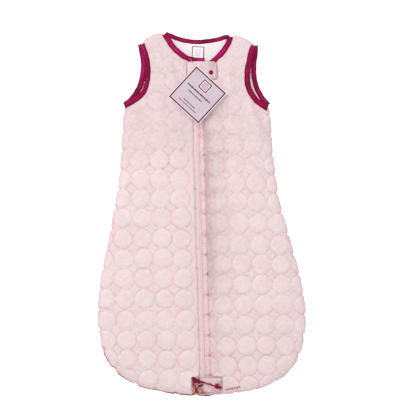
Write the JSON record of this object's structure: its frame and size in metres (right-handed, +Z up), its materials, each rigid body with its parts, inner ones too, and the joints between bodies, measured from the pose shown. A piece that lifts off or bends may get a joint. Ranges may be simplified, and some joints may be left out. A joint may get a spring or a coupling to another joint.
{
  "type": "baby sleeping bag",
  "caption": "Sleeveless quilted plush sleeping sack for a baby, with a two-way centre zip, satin-bound neck and armholes, snap tabs over the zip ends and a hang tag.",
  "frame": {"origin": "middle of the object's box, on the surface it lies on", "axes": "+Y towards the neck, +Z up out of the front of the sack, +X to the right of someone looking down on the front"},
  "size_m": [0.4041, 0.708, 0.0336],
  "materials": {
    "plush": "short pale pink plush pile, quilted in small round puffs",
    "lining": "smooth white knitted cotton",
    "satin": "magenta satin bias binding",
    "zip_tape": "woven pale pink tape",
    "zip_coil": "pale nylon coil",
    "zip_metal": "pale enamelled metal",
    "snap_cap": "magenta moulded press stud",
    "label": "woven satin label",
    "card": "white and pale lilac printed card",
    "tie": "clear moulded tag tie"
  },
  "bodies": {
    "sack": {"back_shell": "plush", "back_lining": "lining", "front_shell_left": "plush", "front_shell_right": "plush", "front_lining_left": "lining", "front_lining_right": "lining", "side_seam_left": "plush", "side_seam_right": "plush", "hem_seam": "plush", "shoulder_seam_left": "plush", "shoulder_seam_right": "plush", "armhole_binding_front_left": "satin", "armhole_binding_front_right": "satin", "armhole_binding_back_left": "satin", "armhole_binding_back_right": "satin", "neck_binding_back": "satin", "neck_label": "label", "zip_tape_left": "zip_tape", "zip_tape_right": "zip_tape", "zip_coil_left": "zip_coil", "zip_coil_right": "zip_coil", "zip_guard": "lining", "zip_guard_binding": "satin", "zip_bottom_stop": "zip_metal", "hem_snap_stud": "zip_metal"},
    "left_flap": {"flap_shell_left": "plush", "flap_lining_left": "lining", "neck_binding_front_left": "satin", "zip_top_stop_left": "zip_metal"},
    "right_flap": {"flap_shell_right": "plush", "flap_lining_right": "lining", "neck_binding_front_right": "satin", "zip_top_stop_right": "zip_metal", "neck_snap_stud": "zip_metal"},
    "neck_tab": {"neck_tab_shell": "plush", "neck_tab_lining": "satin", "neck_snap_cap": "snap_cap", "neck_snap_socket": "zip_metal"},
    "hang_tag": {"hang_tag_card": "card", "hang_tag_tie": "tie"},
    "top_slider": {"top_slider_body": "zip_metal"},
    "top_pull": {"top_slider_pull": "zip_metal"},
    "hem_tab": {"hem_tab_shell": "plush", "hem_tab_lining": "satin", "hem_snap_cap": "snap_cap", "hem_snap_socket": "zip_metal"},
    "bottom_slider": {"bottom_slider_body": "zip_metal"},
    "bottom_pull": {"bottom_slider_pull": "zip_metal"}
  },
  "joints": [
    {"name": "left_flap_fold", "type": "hinge", "parent": "sack", "child": "left_flap", "pos_m": [-0.00804, -0.165, 0.0202], "axis": [0.1528, -0.9883, 0], "range_deg": [0, 95], "deforming": ["zip_tape_left", "zip_tape_right", "zip_coil_left", "zip_coil_right", "zip_guard", "zip_guard_binding"]},
    {"name": "right_flap_fold", "type": "hinge", "parent": "sack", "child": "right_flap", "pos_m": [0.01296, -0.165, 0.0202], "axis": [-0.1128, -0.9936, 0], "range_deg": [-95, 0]},
    {"name": "top_slider_slide", "type": "slide", "parent": "sack", "child": "top_slider", "axis": [0.0265, -0.9996, 0], "range_m": [0, 0.432]},
    {"name": "top_pull_lift", "type": "hinge", "parent": "top_slider", "child": "top_pull", "pos_m": [-0.01256, 0.26991, 0.02255], "axis": [-0.9996, -0.0265, 0], "range_deg": [0, 72.01]},
    {"name": "neck_tab_open", "type": "hinge", "parent": "left_flap", "child": "neck_tab", "pos_m": [-0.02824, 0.27649, 0.0242], "axis": [0.0265, -0.9996, 0], "range_deg": [0, 90]},
    {"name": "hang_tag_lift", "type": "hinge", "parent": "left_flap", "child": "hang_tag", "pos_m": [-0.0235, 0.3025, 0.0215], "axis": [-0.9397, -0.342, 0], "range_deg": [0, 117.01]},
    {"name": "hem_tab_open", "type": "hinge", "parent": "sack", "child": "hem_tab", "pos_m": [-0.01849, -0.33697, 0.0242], "axis": [0.0265, -0.9996, 0], "range_deg": [0, 150]},
    {"name": "bottom_slider_slide", "type": "slide", "parent": "sack", "child": "bottom_slider", "axis": [-0.0265, 0.9996, 0], "range_m": [0, 0.1]},
    {"name": "bottom_pull_lift", "type": "hinge", "parent": "bottom_slider", "child": "bottom_pull", "pos_m": [0.00336, -0.33088, 0.02255], "axis": [-0.9996, -0.0265, 0], "range_deg": [0, 120.01]}
  ],
  "couplings": [
    {"joint": "right_flap_fold", "follows": "left_flap_fold", "ratio": -1},
    {"joint": "top_slider_slide", "follows": "left_flap_fold", "m_per_rad": 0.26054},
    {"joint": "hang_tag_lift", "follows": "neck_tab_open", "ratio": 1.3},
    {"joint": "top_pull_lift", "follows": "neck_tab_open", "ratio": 0.8},
    {"joint": "bottom_pull_lift", "follows": "hem_tab_open", "ratio": 0.8}
  ]
}
